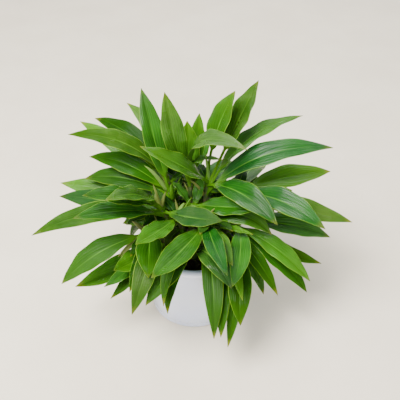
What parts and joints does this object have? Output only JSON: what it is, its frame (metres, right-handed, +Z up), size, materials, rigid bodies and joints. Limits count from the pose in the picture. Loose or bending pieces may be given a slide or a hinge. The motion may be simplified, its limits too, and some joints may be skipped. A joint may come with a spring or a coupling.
{
  "type": "potted philodendron",
  "caption": "Bushy potted philodendron: long pointed leaf blades arch out on all sides of clustered short stems in a round glossy white pot with a rolled lip.",
  "frame": {"origin": "centre of the pot's flat base", "axes": "+Z up; -Y is the front of the plant as pictured; +X is to the right seen from the front"},
  "size_m": [0.3374, 0.274, 0.2601],
  "materials": {
    "pot": "gloss",
    "potting_mix": "matte",
    "leaf": "satin"
  },
  "bodies": {
    "root": {"pot": "pot", "soil": "potting_mix", "stem_middle": "leaf", "stem_back_right": "leaf", "stem_left_front": "leaf", "stem_left": "leaf", "stem_back_left": "leaf", "stem_centre": "leaf", "stem_inner": "leaf", "stem_front": "leaf", "stem_low_left": "leaf", "stem_right_back": "leaf", "stem_right": "leaf", "stem_front_right": "leaf", "stem_front_left": "leaf", "stem_back": "leaf", "stem_low_back": "leaf"}
  },
  "joints": []
}
